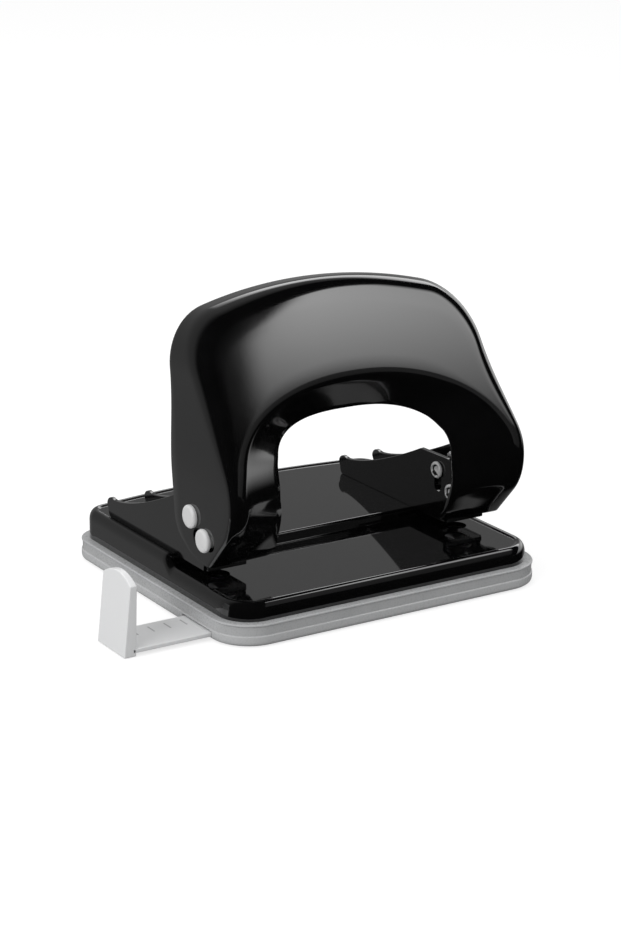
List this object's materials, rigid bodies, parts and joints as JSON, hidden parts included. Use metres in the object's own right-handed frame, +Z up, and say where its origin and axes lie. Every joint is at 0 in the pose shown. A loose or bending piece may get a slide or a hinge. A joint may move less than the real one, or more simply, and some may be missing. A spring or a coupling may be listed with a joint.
{
  "type": "two-hole paper punch",
  "caption": "Manual desk hole punch: arched sheet-steel lever on riveted punch brackets, stepped pressed base, spring-return pins, pull-off chip tray and sliding paper guide.",
  "frame": {"origin": "middle of the footprint of the base, on the surface that the tray rests on", "axes": "+X along the pair of holes to the right, +Y from the side where the paper goes in to the rear, +Z up"},
  "size_m": [0.131, 0.0966, 0.087],
  "materials": {
    "black_enamel": "gloss black stove enamel on sheet steel",
    "bright_steel": "ground steel",
    "rivet_nickel": "nickel-plated, bright",
    "spring_steel": "drawn spring wire",
    "tray_plastic": "pale grey, slightly cloudy moulded plastic",
    "guide_plastic": "white moulded plastic"
  },
  "bodies": {
    "base": {"base_plate": "black_enamel", "left_die_plate": "bright_steel", "right_die_plate": "bright_steel", "left_bracket": "black_enamel", "right_bracket": "black_enamel", "left_fixing_rivets": "black_enamel", "right_fixing_rivets": "black_enamel", "left_pivot_rivet": "rivet_nickel", "right_pivot_rivet": "rivet_nickel", "left_return_spring": "spring_steel", "right_return_spring": "spring_steel"},
    "punch_set": {"left_drive_rivet": "rivet_nickel", "right_drive_rivet": "rivet_nickel", "left_punch_pin": "bright_steel", "right_punch_pin": "bright_steel", "left_spring_washer": "bright_steel", "right_spring_washer": "bright_steel"},
    "lever": {"lever": "black_enamel"},
    "tray": {"chip_tray": "tray_plastic"},
    "guide": {"paper_guide": "guide_plastic"}
  },
  "joints": [
    {"name": "punch_stroke", "type": "slide", "parent": "base", "child": "punch_set", "axis": [0, 0, -1], "range_m": [0, 0.00487], "deforming": ["left_return_spring", "right_return_spring"]},
    {"name": "lever_press", "type": "hinge", "parent": "punch_set", "child": "lever", "pos_m": [0, -0.0171, 0.0293], "axis": [-1, 0, 0], "range_deg": [0, 44], "stiffness_Nm_per_rad": 0.1, "springref_deg": -27.22},
    {"name": "tray_pull", "type": "slide", "parent": "base", "child": "tray", "axis": [0, 0, -1], "range_m": [0, 0.012]},
    {"name": "guide_slide", "type": "slide", "parent": "tray", "child": "guide", "axis": [-1, 0, 0], "range_m": [-0.0214, 0.06]}
  ],
  "couplings": [
    {"joint": "punch_stroke", "follows": "lever_press", "m_per_rad": 0.006313}
  ]
}
